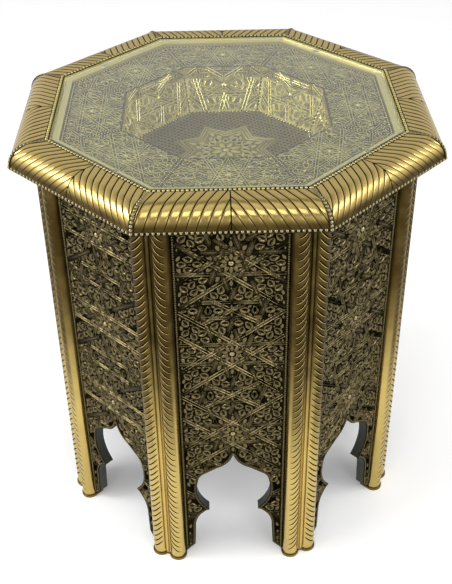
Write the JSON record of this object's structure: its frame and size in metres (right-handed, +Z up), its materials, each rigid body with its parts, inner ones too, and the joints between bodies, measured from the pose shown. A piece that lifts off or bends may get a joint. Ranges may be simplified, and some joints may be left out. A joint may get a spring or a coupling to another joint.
{
  "type": "octagonal side table",
  "caption": "Octagonal side table: wooden carcass clad in chased and pierced brass sheet, with columned corners, arched sides and a loose glass top over a sunken tray.",
  "frame": {"origin": "on the floor under the middle of the octagon", "axes": "+Z up along the table's axis, -Y out of the front panel, +X to the right seen from the front"},
  "size_m": [0.48, 0.48, 0.5415],
  "materials": {
    "carcass_wood": "dark stain, satin",
    "panel_brass": "antique, pierced and chased over a dark ground",
    "column_brass": "polished, nicked in rows",
    "rim_brass": "polished, chased with slanted grooves",
    "tray_brass": "satin, pierced and chased",
    "bead_brass": "beaded strip",
    "clear_glass": "clear, ground edge",
    "clear_plastic": "clear, soft",
    "screw_steel": "zinc plated"
  },
  "bodies": {
    "table": {"block_screws": "screw_steel", "corner_blocks": "carcass_wood", "corner_post_1": "carcass_wood", "corner_post_2": "carcass_wood", "corner_post_3": "carcass_wood", "corner_post_4": "carcass_wood", "corner_post_5": "carcass_wood", "corner_post_6": "carcass_wood", "corner_post_7": "carcass_wood", "corner_post_8": "carcass_wood", "foot_plates": "column_brass", "glass_bumpers": "clear_plastic", "gutter_strips": "column_brass", "ledge_battens": "carcass_wood", "mitre_beads": "bead_brass", "panel_sheet_1": "panel_brass", "panel_sheet_2": "panel_brass", "panel_sheet_3": "panel_brass", "panel_sheet_4": "panel_brass", "panel_sheet_5": "panel_brass", "panel_sheet_6": "panel_brass", "panel_sheet_7": "panel_brass", "panel_sheet_8": "panel_brass", "panel_side_beads": "bead_brass", "post_sleeve_1": "column_brass", "post_sleeve_2": "column_brass", "post_sleeve_3": "column_brass", "post_sleeve_4": "column_brass", "post_sleeve_5": "column_brass", "post_sleeve_6": "column_brass", "post_sleeve_7": "column_brass", "post_sleeve_8": "column_brass", "rim_inner_beads": "bead_brass", "rim_lower_beads": "bead_brass", "rim_rails": "carcass_wood", "rim_sheet_1": "rim_brass", "rim_sheet_2": "rim_brass", "rim_sheet_3": "rim_brass", "rim_sheet_4": "rim_brass", "rim_sheet_5": "rim_brass", "rim_sheet_6": "rim_brass", "rim_sheet_7": "rim_brass", "rim_sheet_8": "rim_brass", "side_board_1": "carcass_wood", "side_board_2": "carcass_wood", "side_board_3": "carcass_wood", "side_board_4": "carcass_wood", "side_board_5": "carcass_wood", "side_board_6": "carcass_wood", "side_board_7": "carcass_wood", "side_board_8": "carcass_wood", "top_board": "carcass_wood", "tray_sheets": "tray_brass", "well_floor_beads": "bead_brass", "well_floor_board": "carcass_wood", "well_floor_sheet": "tray_brass", "well_wall_boards": "carcass_wood", "well_wall_sheets": "tray_brass"},
    "glass": {"glass_plate": "clear_glass"}
  },
  "joints": [
    {"name": "glass_lift", "type": "slide", "parent": "table", "child": "glass", "axis": [0, 0, 1], "range_m": [0, 0.15]}
  ]
}
